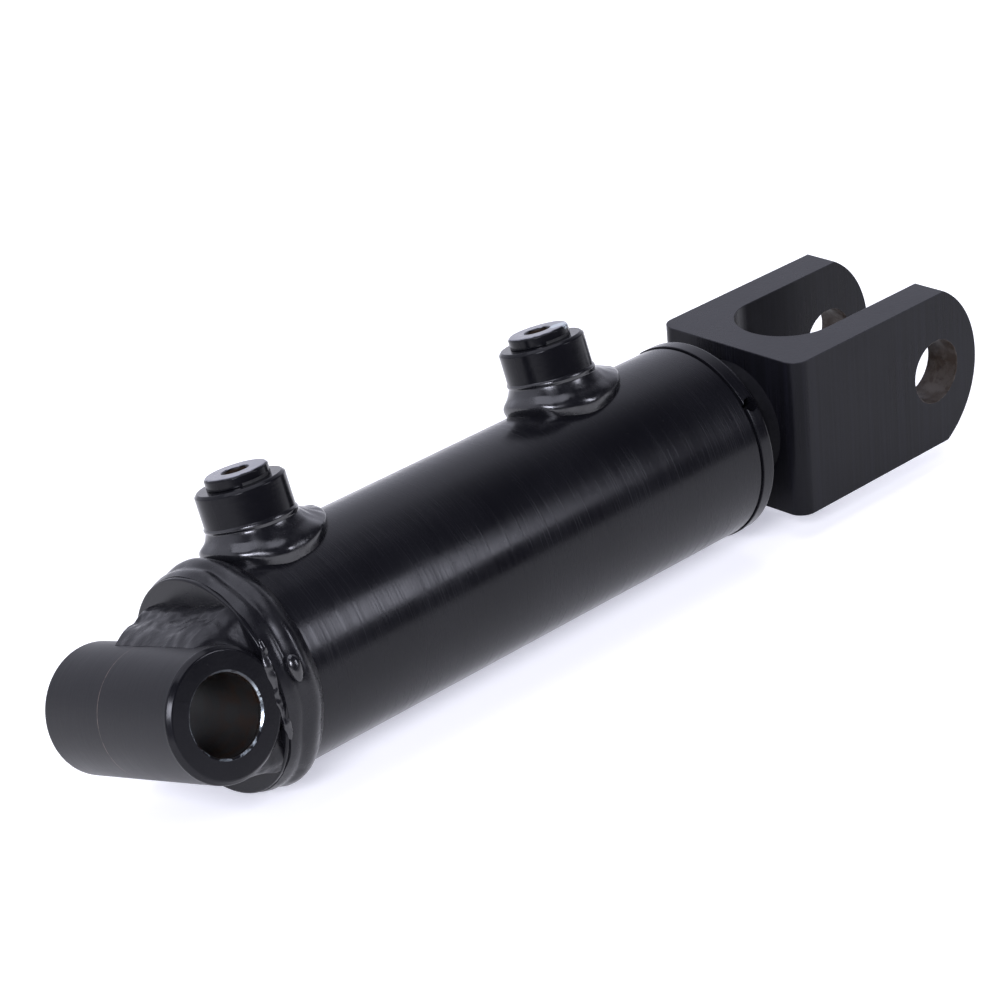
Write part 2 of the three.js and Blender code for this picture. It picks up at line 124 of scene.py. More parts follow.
def top_of(node, radius):
    """The height of a port piece's flat top above the barrel's axis."""
    high = (span(node, 2)[1] - EYE.z) / MM
    return (high - radius * math.sin(LEAN)) / math.cos(LEAN)


BOSS_CHAMFER = 0.8
PLUG_CHAMFER = 0.6
BOSS_TOP = top_of("base_port_boss", BOSS_RADIUS - BOSS_CHAMFER)
PLUG_TOP = top_of("base_port_plug", PLUG_RADIUS - PLUG_CHAMFER)

# Measures that the frame's boxes don't give.
PORT_WELD_TOP = 37.5
PORT_WELD_AHEAD = 20.3
PORT_WELD_BEHIND = 15.6
PORT_WELD_FAR = 14.7
PORT_WELD_NEAR = {"base": 16.3, "rod": 15.6}
CROSS_WELD_TOP = 22.6
SPATTER_ANGLE = math.radians(81)
SPATTER_X = 22.3
TUBE_WALL = 5.0
EYE_BORE = 11.0
EYE_SCRATCH = 3.0
BOSS_SADDLE = 28
ROD_SPIGOT = 9.0
ROD_SHOULDER = 72.0
GLAND_FLANGE = TUBE_END + 0.18
GLAND_BORE = 15.3
SLOT_HALF_WIDTH = 16.0
SLOT_CENTRE = 248.3
PIN_CENTRE = 284.7
PIN_HOLE = 10.0
TINE_CORNER = 289.5
CLEVIS_CORNER = 5.0
SOCKET_CORNER = 7.0 / math.sqrt(3)
SOCKET_TURN = math.radians(18)
SOCKET_DEPTH = 7.0
NICK_X, NICK_Y = 3.6, -5.2
SPANNER_ANGLE = math.radians(70)
SPANNER_RADIUS = 2.3


# ------------------------------------------------------------------ mesh helpers

def new_object(name, vertices, faces, place):
    """A mesh object with its vertices moved to their place in the scene, and faces turned outwards."""
    mesh = bpy.data.meshes.new(name)
    mesh.from_pydata([place @ Vector(v) for v in vertices], [], faces)
    tidy = bmesh.new()
    tidy.from_mesh(mesh)
    bmesh.ops.recalc_face_normals(tidy, faces=tidy.faces)
    tidy.to_mesh(mesh)
    tidy.free()
    obj = bpy.data.objects.new(name, mesh)
    bpy.context.scene.collection.objects.link(obj)
    return obj


def rounded(points, arc_steps=4):
    """An outline whose corners are rounded: each point is (x, y) or (x, y, corner radius)."""
    out = []
    for i, point in enumerate(points):
        here = Vector(point[:2])
        radius = point[2] if len(point) > 2 else 0
        if not radius or i in (0, len(points) - 1):
            out.append(tuple(here))
            continue
        back = Vector(points[i - 1][:2]) - here
        ahead = Vector(points[i + 1][:2]) - here
        reach = min(radius / math.tan(back.angle(ahead) / 2), back.length / 2, ahead.length / 2)
        start = here + back.normalized() * reach
        end = here + ahead.normalized() * reach
        for k in range(arc_steps + 1):
            t = k / arc_steps
            out.append(tuple(start * (1 - t) ** 2 + here * 2 * t * (1 - t) + end * t * t))
    return out


def turned(name, profile, place, steps=192):
    """A body turned about local X. The profile holds (x, radius) and ends on the axis or closes."""
    closed = profile[0] == profile[-1]
    outline = profile[:-1] if closed else profile
    vertices, rings = [], []
    for x, radius in outline:
        first = len(vertices)
        count = 1 if radius < 1e-6 else steps
        for k in range(count):
            angle = TAU * k / steps
            vertices.append((x, radius * math.cos(angle), radius * math.sin(angle)))
        rings.append([first + k % count for k in range(steps)])
    faces = []
    pairs = list(zip(rings, rings[1:] + rings[:1])) if closed else list(zip(rings, rings[1:]))
    for a, b in pairs:
        for k in range(steps):
            n = (k + 1) % steps
            face = [a[k], a[n], b[n], b[k]]
            face = [v for j, v in enumerate(face) if v not in face[:j]]
            if len(face) > 2:
                faces.append(face)
    return new_object(name, vertices, faces, place)


def cutter(name, low, high, radius, place, steps):
    """A plain cylinder along local X, to cut with."""
    return turned(name, [(low, 0), (low, radius), (high, radius), (high, 0)], place, steps)


def prism(name, outline, axis, low, high, place):
    """A flat outline pushed along one axis, from low to high."""
    order = {"Z": lambda u, v, w: (u, v, w), "Y": lambda u, v, w: (u, w, v)}[axis]
    count = len(outline)
    vertices = [order(u, v, w) for w in (low, high) for u, v in outline]
    faces = [list(range(count))[::-1], list(range(count, 2 * count))]
    for k in range(count):
        n = (k + 1) % count
        faces.append([k, n, n + count, k + count])
    return new_object(name, vertices, faces, place)


def strips(count, size, closed=True):
    """Quads between rings of size vertices. Open strips are capped by a face at either end."""
    faces = []
    for i in range(count):
        here = i * size
        there = (i + 1) % count * size if closed else (i + 1) * size
        for j in range(size):
            k = (j + 1) % size
            faces.append([here + j, here + k, there + k, there + j])
    if not closed:
        faces.append(list(range(size)))
        faces.append([count * size + j for j in range(size)])
    return faces


def arc(centre, radius, start, end, steps):
    """Points on a circular arc, with both angles in degrees."""
    out = []
    for k in range(steps + 1):
        angle = math.radians(start + (end - start) * k / steps)
        out.append((centre[0] + radius * math.cos(angle), centre[1] + radius * math.sin(angle)))
    return out


def apply_modifiers(obj):
    """Replaces the object's mesh by what its modifiers make of it."""
    graph = bpy.context.evaluated_depsgraph_get()
    made = bpy.data.meshes.new_from_object(obj.evaluated_get(graph))
    obj.modifiers.clear()
    obj.data = made


def boolean(obj, tool, operation):
    """Cuts obj with tool, or keeps what they share, and removes the tool."""
    modifier = obj.modifiers.new("cut", "BOOLEAN")
    modifier.operation = operation
    modifier.solver = "EXACT"
    modifier.object = tool
    apply_modifiers(obj)
    bpy.data.objects.remove(tool)


def soften_edges(obj, width, segments=3, angle=35):
    """Rounds the sharp edges. width is in millimetres and angle in degrees."""
    modifier = obj.modifiers.new("bevel", "BEVEL")
    modifier.width = width * MM
    modifier.segments = segments
    modifier.limit_method = "ANGLE"
    modifier.angle_limit = math.radians(angle)
    modifier.miter_outer = "MITER_ARC"
    apply_modifiers(obj)


def smooth(obj, sharp_angle=30, weighted=True):
    """Shades the piece smooth, except over edges sharper than sharp_angle degrees."""
    for polygon in obj.data.polygons:
        polygon.use_smooth = True
    obj.data.set_sharp_from_angle(angle=math.radians(sharp_angle))
    if weighted:
        modifier = obj.modifiers.new("normals", "WEIGHTED_NORMAL")
        modifier.keep_sharp = True
        modifier.weight = 80


def place_piece(obj, body, material, nodes=()):
    """Gives a piece its material and its body, and hides the CAD nodes that it stands for."""
    obj.data.materials.clear()
    obj.data.materials.append(material)
    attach(obj, body)
    if nodes:
        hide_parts(*nodes)


def ease(t):
    """Rises smoothly from 0 to 1 as t does, and stays there."""
    t = max(0.0, min(1.0, t))
    return t * t * (3 - 2 * t)


def bump(value, centre, half_width):
    """1 at the centre, falling smoothly to 0 at half_width to either side."""
    t = (value - centre) / half_width
    return (1 - t * t) ** 2 if abs(t) < 1 else 0.0


def soft_ramp(t, sharpness=16):
    """0 below t = 0 and t above it, with a smooth turn between."""
    return math.log(1 + math.exp(sharpness * t)) / sharpness


def wobble(x, y, z, size, seed=0.0):
    """Smooth noise from -1 to 1, with features of about the given size."""
    return noise.noise(Vector((x / size + seed, y / size - seed, z / size + 0.5 * seed)))


# ------------------------------------------------------------------ shader helpers

class Shader:
    """A short way to write a node tree: most methods add nodes and return an output."""

    def __init__(self, name):
        self.material = bpy.data.materials.new(name)
        self.material.use_nodes = True
        self.tree = self.material.node_tree
        self.surface = self.tree.nodes["Principled BSDF"]
        self.coords = self.add("ShaderNodeTexCoord").outputs["Object"]

    def add(self, kind):
        return self.tree.nodes.new(kind)

    def link(self, value, socket):
        if isinstance(value, bpy.types.NodeSocket):
            self.tree.links.new(value, socket)
        else:
            socket.default_value = value

    def local(self, place, scale=(1, 1, 1)):
        """Coordinates in millimetres in a placed frame, stretched by scale."""
        turn = self.add("ShaderNodeMapping")
        turn.vector_type = "TEXTURE"
        turn.inputs["Location"].default_value = place.to_translation()
        turn.inputs["Rotation"].default_value = place.to_euler()
        turn.inputs["Scale"].default_value = place.to_scale()
        self.link(self.coords, turn.inputs["Vector"])
        stretch = self.add("ShaderNodeVectorMath")
        stretch.operation = "MULTIPLY"
        self.link(turn.outputs["Vector"], stretch.inputs[0])
        stretch.inputs[1].default_value = scale
        return stretch.outputs["Vector"]

    def noise(self, vector, scale, detail=2.0, roughness=0.5):
        node = self.add("ShaderNodeTexNoise")
        self.link(vector, node.inputs["Vector"])
        node.inputs["Scale"].default_value = scale
        node.inputs["Detail"].default_value = detail
        node.inputs["Roughness"].default_value = roughness
        return node.outputs["Fac"]

    def spots(self, vector, scale):
        """The distance to the nearest of many scattered points."""
        node = self.add("ShaderNodeTexVoronoi")
        self.link(vector, node.inputs["Vector"])
        node.inputs["Scale"].default_value = scale
        return node.outputs["Distance"]

    def math(self, operation, a, b=0.0, clamp=False):
        node = self.add("ShaderNodeMath")
        node.operation = operation
        node.use_clamp = clamp
        for value, socket in zip((a, b), node.inputs):
            self.link(value, socket)
        return node.outputs[0]

    def remap(self, value, low, high, to_low, to_high):
        """Turns the range low..high smoothly into to_low..to_high, and holds beyond it."""
        node = self.add("ShaderNodeMapRange")
        node.interpolation_type = "SMOOTHSTEP"
        for socket, given in zip(node.inputs, (value, low, high, to_low, to_high)):
            self.link(given, socket)
        return node.outputs["Result"]

    def radius(self, a, b):
        """The length of the vector (a, b)."""
        squares = self.math("ADD", self.math("MULTIPLY", a, a), self.math("MULTIPLY", b, b))
        return self.math("SQRT", squares)

    def centred(self, value, amount):
        """Turns noise around 0.5 into noise around 0, times amount."""
        return self.math("MULTIPLY", self.math("SUBTRACT", value, 0.5), amount)

    def feeding(self, name):
        """The output that is linked to one of the surface's inputs."""
        return self.surface.inputs[name].links[0].from_socket

    def split(self, vector):
        """The vector's x, y and z."""
        node = self.add("ShaderNodeSeparateXYZ")
        self.link(vector, node.inputs[0])
        return node.outputs

    def blend(self, factor, first, second):
        node = self.add("ShaderNodeMix")
        node.data_type = "RGBA"
        self.link(factor, node.inputs["Factor"])
        self.link(first, node.inputs["A"])
        self.link(second, node.inputs["B"])
        return node.outputs["Result"]

    def bumps(self, layers):
        """Chains bump layers of (height, distance in mm) and feeds them to the surface."""
        normal = None
        for height, distance in layers:
            node = self.add("ShaderNodeBump")
            node.inputs["Strength"].default_value = 1.0
            node.inputs["Distance"].default_value = distance * MM
            self.link(height, node.inputs["Height"])
            if normal:
                self.link(normal, node.inputs["Normal"])
            normal = node.outputs["Normal"]
        self.link(normal, self.surface.inputs["Normal"])

    def set(self, **values):
        """Sets the surface's inputs to values or to other nodes' outputs."""
        for name, value in values.items():
            self.link(value, self.surface.inputs[name.replace("_", " ").title().replace("Ior", "IOR")])


def rgb(r, g, b):
    return (r, g, b, 1.0)


PAINT = rgb(0.0042, 0.0042, 0.0055)
PAINT_WORN = rgb(0.0075, 0.0075, 0.0092)
PAINT_STREAK = rgb(0.008, 0.008, 0.0115)
# Painted sheen: the lighter colour given to the clevis's top face for the light it catches.
PAINT_TOP_SHEEN = rgb(0.019, 0.019, 0.022)
DUST = rgb(0.03, 0.029, 0.028)
SCRATCH = rgb(0.16, 0.12, 0.105)
BARE_TOP = rgb(0.20, 0.20, 0.22)
CHIPPED = rgb(0.42, 0.47, 0.50)
# The bore's bare steel and rust, painted nearly black as painted shade inside the bore.
EYE_BORE_SHADED_STEEL = rgb(0.010, 0.0095, 0.009)
EYE_BORE_SHADED_RUST = rgb(0.015, 0.008, 0.005)
PIN_STEEL = rgb(0.05, 0.042, 0.036)
PIN_RUST = rgb(0.03, 0.022, 0.017)
GRIME = rgb(0.035, 0.022, 0.014)
GRIME_DARK = rgb(0.012, 0.01, 0.009)
CHROME = rgb(0.80, 0.81, 0.83)
CHROME_DULL = rgb(0.74, 0.75, 0.77)
INNER_STEEL = rgb(0.42, 0.42, 0.43)
INNER_RUBBER = rgb(0.016, 0.016, 0.016)
WIPER_RUBBER = rgb(0.015, 0.015, 0.015)
POLYURETHANE = rgb(0.05, 0.12, 0.30)
RESIN = rgb(0.20, 0.09, 0.05)
PAINT_SHINE = 0.18
CLEVIS_SHINE = 0.10
BOSS_SHINE = 0.14


def paint(name, place, grain, grain_depth, rough, shine=PAINT_SHINE, peel=0.02, streaking=0.14):
    """Black paint over machined steel.

    grain stretches the tool marks, grain_depth and peel are the depths in mm of the tool marks
    and of the paint's own skin, and streaking is how much the tool marks change the gloss.
    """
    s = Shader(name)
    marks = s.noise(s.local(place, grain), 1.0, 3.0, 0.65)
    broad = s.noise(s.local(place), 0.035, 3.0)
    skin = s.noise(s.local(place), 0.9, 2.0)
    specks = s.spots(s.local(place), 0.35)
    dust = s.remap(specks, 0.03, 0.07, 1.0, 0.0)
    tone = s.blend(s.remap(broad, 0.35, 0.7, 0.0, 0.6), PAINT, PAINT_WORN)
    base = s.blend(s.math("MULTIPLY", dust, 0.35), tone, DUST)
    gloss = s.math("ADD", rough, s.centred(broad, 0.16))
    streak = s.centred(marks, streaking)
    s.set(base_color=base, roughness=s.math("ADD", gloss, streak, clamp=True))
    s.set(specular_ior_level=shine)
    s.bumps([(skin, peel), (marks, grain_depth)])
    return s


def plain(name, color, rough, metallic, place, grain, depth=0.01):
    """A simple finish with fine tool marks, for the wiper and the pieces inside."""
    s = Shader(name)
    shade = 0.7
    marks = s.noise(s.local(place, grain), 1.0, 3.0, 0.6)
    dark = rgb(*(c * shade for c in color[:3]))
    s.set(base_color=s.blend(marks, color, dark), metallic=metallic)
    s.set(roughness=s.remap(marks, 0.2, 0.8, rough * 0.8, rough * 1.25))
    s.bumps([(marks, depth)])
    return s.material


# ------------------------------------------------------------------ materials

def barrel_material():
    """Fine lathe lines show round the tube wherever light falls on it."""
    grain = (2.4, 0.04, 0.04)
    return paint("barrel_black", BARREL, grain, 0.012, 0.22, peel=0.006, streaking=0.45).material


def eye_material():
    """Satin on the outside, glossy towards the end faces, bare and stained in the bore, where the
    colour is painted nearly black as painted shade.
    """
    s = paint("eye_black", CROSS, (2.4, 0.06, 0.06), 0.006, 0.42, peel=0.01)
    x, y, z = s.split(s.local(CROSS))
    radius = s.radius(y, z)
    ragged = s.centred(s.noise(s.local(CROSS), 0.7, 4.0, 0.7), 1.6)
    inside = s.remap(s.math("ADD", radius, ragged), EYE_BORE + 0.1, EYE_BORE + 0.35, 1.0, 0.0)
    stains = s.noise(s.local(CROSS), 0.22, 5.0, 0.6)
    # Bare steel with real rust stains, darkened to near black as painted shade inside the bore.
    bare = s.blend(s.remap(stains, 0.42, 0.62, 0.0, 1.0), EYE_BORE_SHADED_STEEL, EYE_BORE_SHADED_RUST)
    base = s.feeding("Base Color")
    rough = s.feeding("Roughness")
    from_line = s.math("ABSOLUTE", s.math("SUBTRACT", x, EYE_SCRATCH))
    broken = s.remap(s.noise(s.local(CROSS), 0.35, 3.0), 0.38, 0.55, 0.15, 0.6)
    scratch = s.math("MULTIPLY", s.remap(from_line, 0.05, 0.16, 1.0, 0.0), broken)
    marked = s.blend(scratch, base, SCRATCH)
    patches = s.remap(s.noise(s.local(CROSS, (1, -1, 1)), 0.22, 5.0, 0.65), 0.43, 0.52, 0.0, 1.0)
    at_end = s.remap(s.math("ABSOLUTE", x), EYE_HALF - 1.1, EYE_HALF - 0.8, 0.0, 1.0)
    from_rim = s.math("SUBTRACT", radius, EYE_BORE + 0.35)
    uneven = s.math("ABSOLUTE", s.math("ADD", from_rim, s.math("MULTIPLY", ragged, 0.15)))
    low_down = s.remap(z, 1.0, 6.0, 1.0, 0.1)
    rim_chips = s.math("MULTIPLY", patches, s.remap(uneven, 0.15, 0.35, 1.0, 0.0))
    rim_chips = s.math("MULTIPLY", rim_chips, low_down)
    chips = s.math("MULTIPLY", rim_chips, at_end)
    s.set(base_color=s.blend(chips, s.blend(inside, marked, bare), CHIPPED), metallic=chips)
    end_face = s.remap(s.math("ABSOLUTE", x), EYE_HALF - 2.2, EYE_HALF - 1.2, 0.0, 1.0)
    s.set(roughness=s.math("SUBTRACT", rough, s.math("MULTIPLY", end_face, 0.22)))
    return s.material


def clevis_material():
    """Milled streaks up and down the sides, a painted sheen lightening the top, bare metal in the pin
    holes.
    """
    s = paint("clevis_black", ROD, (0.9, 0.9, 0.02), 0.03, 0.30, CLEVIS_SHINE, 0.01)
    x, _, z = s.split(s.local(ROD))
    from_pin = s.math("SUBTRACT", x, PIN_CENTRE)
    ragged = s.centred(s.noise(s.local(ROD), 0.6, 4.0, 0.7), 1.0)
    radius = s.math("ADD", s.radius(from_pin, z), ragged)
    inside = s.remap(radius, PIN_HOLE + 0.05, PIN_HOLE + 0.3, 1.0, 0.0)
    stains = s.noise(s.local(ROD), 0.25, 4.0, 0.6)
    bare = s.blend(s.remap(stains, 0.4, 0.6, 0.0, 1.0), PIN_STEEL, PIN_RUST)
    base = s.feeding("Base Color")
    streaks = s.remap(s.noise(s.local(ROD, (0.5, 0.5, 0.008)), 1.0, 4.0, 0.7), 0.4, 0.75, 0.0, 0.8)
    streaked = s.blend(streaks, base, PAINT_STREAK)
    # The top face is painted lighter, as a painted sheen.
    on_top = s.remap(z, CLEVIS_HALF_HEIGHT - 0.4, CLEVIS_HALF_HEIGHT - 0.1, 0.0, 1.0)
    top_sheen = s.blend(on_top, streaked, PAINT_TOP_SHEEN)
    s.set(base_color=s.blend(inside, top_sheen, bare))
    return s.material


def weld_material(name, rough, shine, ripple):
    """Thick paint over weld metal, with soft ripples and a few pits."""
    s = Shader(name)
    soft = s.noise(s.local(BARREL), 0.26, 2.0)
    fine = s.noise(s.local(BARREL), 1.1, 3.0)
    pits = s.remap(s.spots(s.local(BARREL), 0.22), 0.04, 0.09, 0.0, 1.0)
    s.set(base_color=s.blend(fine, PAINT, PAINT_WORN), specular_ior_level=shine)
    s.set(roughness=s.remap(soft, 0.3, 0.7, rough, rough + 0.14))
    s.bumps([(soft, 0.05), (fine, ripple), (pits, 0.04)])
    return s.material


def rod_material():
    """Hard chrome with fine turning lines; its end by the clevis was painted with the rest."""
    s = Shader("rod_chrome")
    marks = s.noise(s.local(ROD, (2.0, 0.1, 0.1)), 1.0, 3.0, 0.6)
    ragged = s.math("MULTIPLY", s.noise(s.local(ROD), 0.5, 3.0), 0.5)
    x = s.split(s.local(ROD))[0]
    painted = s.remap(s.math("ADD", x, ragged), GLAND_END - 0.3, GLAND_END, 0.0, 1.0)
    chrome = s.blend(marks, CHROME, CHROME_DULL)
    s.set(base_color=s.blend(painted, chrome, PAINT), metallic=s.math("SUBTRACT", 1.0, painted))
    polish = s.remap(marks, 0.2, 0.8, 0.07, 0.11)
    s.set(roughness=s.math("ADD", polish, s.math("MULTIPLY", painted, 0.35)))
    s.bumps([(marks, 0.0015)])
    s.set(specular_ior_level=PAINT_SHINE)
    return s.material


def boss_material():
    """The same paint, with turning lines that run round each port."""
    place = BARREL @ Matrix.Translation((PORTS["base"], 0, 0))
    return paint("boss_black", place, (0.08, 0.08, 2.4), 0.03, 0.18, BOSS_SHINE, 0.01).material


def plug_material():
    """Painted like the bosses, rubbed down to grey metal on top, with a grimy socket."""
    place = BARREL @ Matrix.Translation((PORTS["base"], 0, 0))
    s = paint("plug_black", place, (0.1, 0.1, 2.4), 0.006, 0.17, BOSS_SHINE, peel=0.005)
    x, y, z = s.split(s.local(place))
    spacing = PORTS["rod"] - PORTS["base"]
    at_rod_end = s.math("GREATER_THAN", x, spacing / 2)
    from_axis = s.radius(s.math("SUBTRACT", x, s.math("MULTIPLY", at_rod_end, spacing)), y)
    socket = s.math("MULTIPLY", s.remap(z, PLUG_TOP - 0.8, PLUG_TOP - 0.3, 1.0, 0.0),
                    s.remap(from_axis, 4.2, 4.6, 1.0, 0.0))
    mottle = s.noise(s.local(place), 0.5, 4.0, 0.6)
    uneven = s.centred(mottle, 0.5)
    rubbed = s.remap(s.math("ADD", z, uneven), PLUG_TOP - 0.25, PLUG_TOP - 0.1, 0.0, 1.0)
    rubbed = s.math("MULTIPLY", rubbed, s.math("SUBTRACT", 1.0, socket))
    base = s.feeding("Base Color")
    rough = s.feeding("Roughness")
    grime = s.blend(mottle, GRIME, GRIME_DARK)
    knock = s.radius(s.math("SUBTRACT", x, spacing + NICK_X), s.math("SUBTRACT", y, NICK_Y))
    nick = s.remap(s.math("ADD", knock, s.math("MULTIPLY", mottle, 6.0)), 5.2, 6.0, 1.0, 0.0)
    nick = s.math("MULTIPLY", nick, s.remap(z, PLUG_TOP - 1.4, PLUG_TOP - 1.0, 0.0, 1.0))
    tops = s.blend(nick, s.blend(rubbed, base, BARE_TOP), CHIPPED)
    s.set(base_color=s.blend(socket, tops, grime))
    s.set(metallic=s.math("MULTIPLY", s.math("MAXIMUM", rubbed, nick), 0.9))
    s.set(roughness=s.math("ADD", rough, s.math("MULTIPLY", rubbed, 0.12)))
    return s.material


# ------------------------------------------------------------------ barrel pieces

def build_barrel_tube(material):
    """The tube, bevelled for the girth weld and chamfered at the gland."""
    inner = TUBE_RADIUS - TUBE_WALL
    profile = rounded([
        (TUBE_START, inner), (TUBE_START, inner + 1), (TUBE_START + 4, TUBE_RADIUS),
        (TUBE_END - 0.7, TUBE_RADIUS, 0.3), (TUBE_END, TUBE_RADIUS - 0.7, 0.3), (TUBE_END, inner),
        (TUBE_START, inner),
    ])
    obj = turned("barrel_tube_skin", profile, BARREL, 256)
    smooth(obj)
    place_piece(obj, "barrel", material, ["barrel_tube"])


def build_base_cap(material):
    """The cap with its spigot inside the tube, hollowed to seat the cross tube."""
    spigot = TUBE_RADIUS - TUBE_WALL - 0.3
    profile = rounded([
        (CAP_FACE, 0), (CAP_FACE, CAP_RADIUS, 0.7), (CAP_FACE + 2.8, CAP_RADIUS),
        (CAP_FACE + 7.8, spigot + 1.3), (CAP_FACE + 7.8, spigot), (CAP_END, spigot, 1), (CAP_END, 0),
    ])
    obj = turned("base_cap_disc", profile, BARREL, 192)
    boolean(obj, cutter("saddle", -40, 40, EYE_RADIUS, CROSS, 192), "DIFFERENCE")
    smooth(obj)
    place_piece(obj, "barrel", material, ["base_cap"])


def build_cross_tube(material):
    """The eye: a thick tube across the cylinder, with its outer and bore edges broken."""
    edge, bore_edge = 1.2, 0.6
    profile = rounded([
        (-EYE_HALF + bore_edge, EYE_BORE), (-EYE_HALF, EYE_BORE + bore_edge, 0.2),
        (-EYE_HALF, EYE_RADIUS - edge, 0.8), (-EYE_HALF + edge, EYE_RADIUS, 0.8),
        (EYE_HALF - edge, EYE_RADIUS, 0.8), (EYE_HALF, EYE_RADIUS - edge, 0.8),
        (EYE_HALF, EYE_BORE + bore_edge, 0.2), (EYE_HALF - bore_edge, EYE_BORE),
        (-EYE_HALF + bore_edge, EYE_BORE),
    ])
    obj = turned("cross_tube_skin", profile, CROSS, 224)
    smooth(obj)
    place_piece(obj, "barrel", material, ["cross_tube"])


def build_girth_weld(material):
    """A wide two-pass bead round the joint of cap and tube, with an uneven crown and edges."""
    steps, across = 480, 40
    crease_sharpness = 5
    noise_radius = 30
    buried = 1.5
    vertices = []
    start_x, end_x = CAP_FACE + 1.2, WELD_END - 0.2
    for i in range(steps):
        angle = TAU * i / steps
        y, z = math.sin(angle) * -noise_radius, math.cos(angle) * noise_radius
        left = start_x + 0.4 * wobble(0, y, z, 9, 3.1) + 0.2 * wobble(0, y, z, 3.5, 7.7)
        right = end_x + 0.5 * wobble(0, y, z, 10, 11.3) + 0.15 * wobble(0, y, z, 3, 1.9)
        seam = 0.36 + 0.07 * wobble(0, y, z, 11, 14.2)
        for j in range(across + 1):
            t = j / across
            x = left + (right - left) * t
            foot = CAP_RADIUS - 0.3 + (TUBE_RADIUS - CAP_RADIUS) * t
            first_pass = 1.3 * bump(t, seam - 0.14, 0.36)
            second_pass = 2.6 * bump(t, seam + 0.26, 0.50)
            swell = 1 + 0.18 * wobble(x, y, z, 16, 5.2)
            scales = 0.03 * wobble(x * 0.5, y, z, 2.6, 9.4) * bump(t, 0.55, 0.45)
            lumps = 0.30 * wobble(x, y, z, 11, 2.6) * bump(t, 0.45, 0.5)
            both = math.exp(crease_sharpness * first_pass) + math.exp(crease_sharpness * second_pass)
            height = math.log(both - 1) / crease_sharpness * swell + scales + lumps
            radius = min(foot + max(height, 0) + 0.25 * bump(t, 0.5, 0.5), WELD_RADIUS + 0.1)
            vertices.append((x, -radius * math.sin(angle), radius * math.cos(angle)))
        for x, radius in ((right, TUBE_RADIUS - buried), (left, CAP_RADIUS - buried)):
            vertices.append((x, -radius * math.sin(angle), radius * math.cos(angle)))
    faces = strips(steps, across + 3)
    obj = new_object("base_girth_weld_bead", vertices, faces, BARREL)
    smooth(obj, 60, weighted=False)
    place_piece(obj, "barrel", material, ["base_girth_weld"])


def build_port_weld(end, material, seed):
    """A small bead on the boss above a fat one that runs down onto the barrel, furthest along X."""
    steps, across = 360, 44
    slope_start, slope_end = 0.16, 0.70
    vertices = []
    centre = PORTS[end]
    inner = BOSS_RADIUS - 0.15
    buried = inner - 0.8
    for i in range(steps):
        angle = TAU * i / steps
        c, s = math.cos(angle), math.sin(angle)
        wave = 0.4 * wobble(10 * c, 10 * s, 0, 8, seed)
        wave += 0.15 * wobble(10 * c, 10 * s, 0, 3, seed + 4)
        reach_x = PORT_WELD_AHEAD if c > 0 else PORT_WELD_BEHIND
        reach_y = PORT_WELD_FAR if s > 0 else PORT_WELD_NEAR[end]
        reach = 1 / math.hypot(c / reach_x, s / reach_y) + wave
        crest = PORT_WELD_TOP - 0.5 * c + 0.3 * wobble(10 * c, 10 * s, 0, 6, seed + 9)
        foot = math.sqrt(TUBE_RADIUS ** 2 - (reach * s) ** 2) - 0.25
        run, rise = reach - inner, foot - crest
        fullness = 0.7 + 0.5 * wobble(12 * c, 12 * s, 0, 7, seed + 2)
        for j in range(across + 1):
            t = j / across
            slope = soft_ramp(t - slope_start) - soft_ramp(t - slope_end)
            ring = 0.45 * bump(t, 0.07, 0.10)
            lip = fullness * bump(t, 0.72, 0.34)
            lumps = 0.30 * wobble(12 * c, 12 * s, 7 * t, 5.0, seed + 5) * bump(t, 0.6, 0.42)
            thumb = 0.45 * wobble(run * t, 14 * s, 0, 2.2, seed + 6) * bump(t, 0.5, 0.5) * max(c, 0)
            radius = inner + run * slope / (slope_end - slope_start) + ring + lip + lumps
            z = crest + rise * t + 0.4 * lip + lumps + thumb
            vertices.append((centre + radius * c, radius * s, z))
        low = math.sqrt(TUBE_RADIUS ** 2 - (inner * s) ** 2) - 1.2
        vertices.append((centre + reach * c, reach * s, foot - 0.8))
        vertices.append((centre + buried * c, buried * s, low))
        vertices.append((centre + buried * c, buried * s, crest - 0.5))
    faces = strips(steps, across + 4)
    obj = new_object(f"{end}_port_weld_bead", vertices, faces, BARREL)
    smooth(obj, 60, weighted=False)
    place_piece(obj, "barrel", material, [f"{end}_port_weld"])


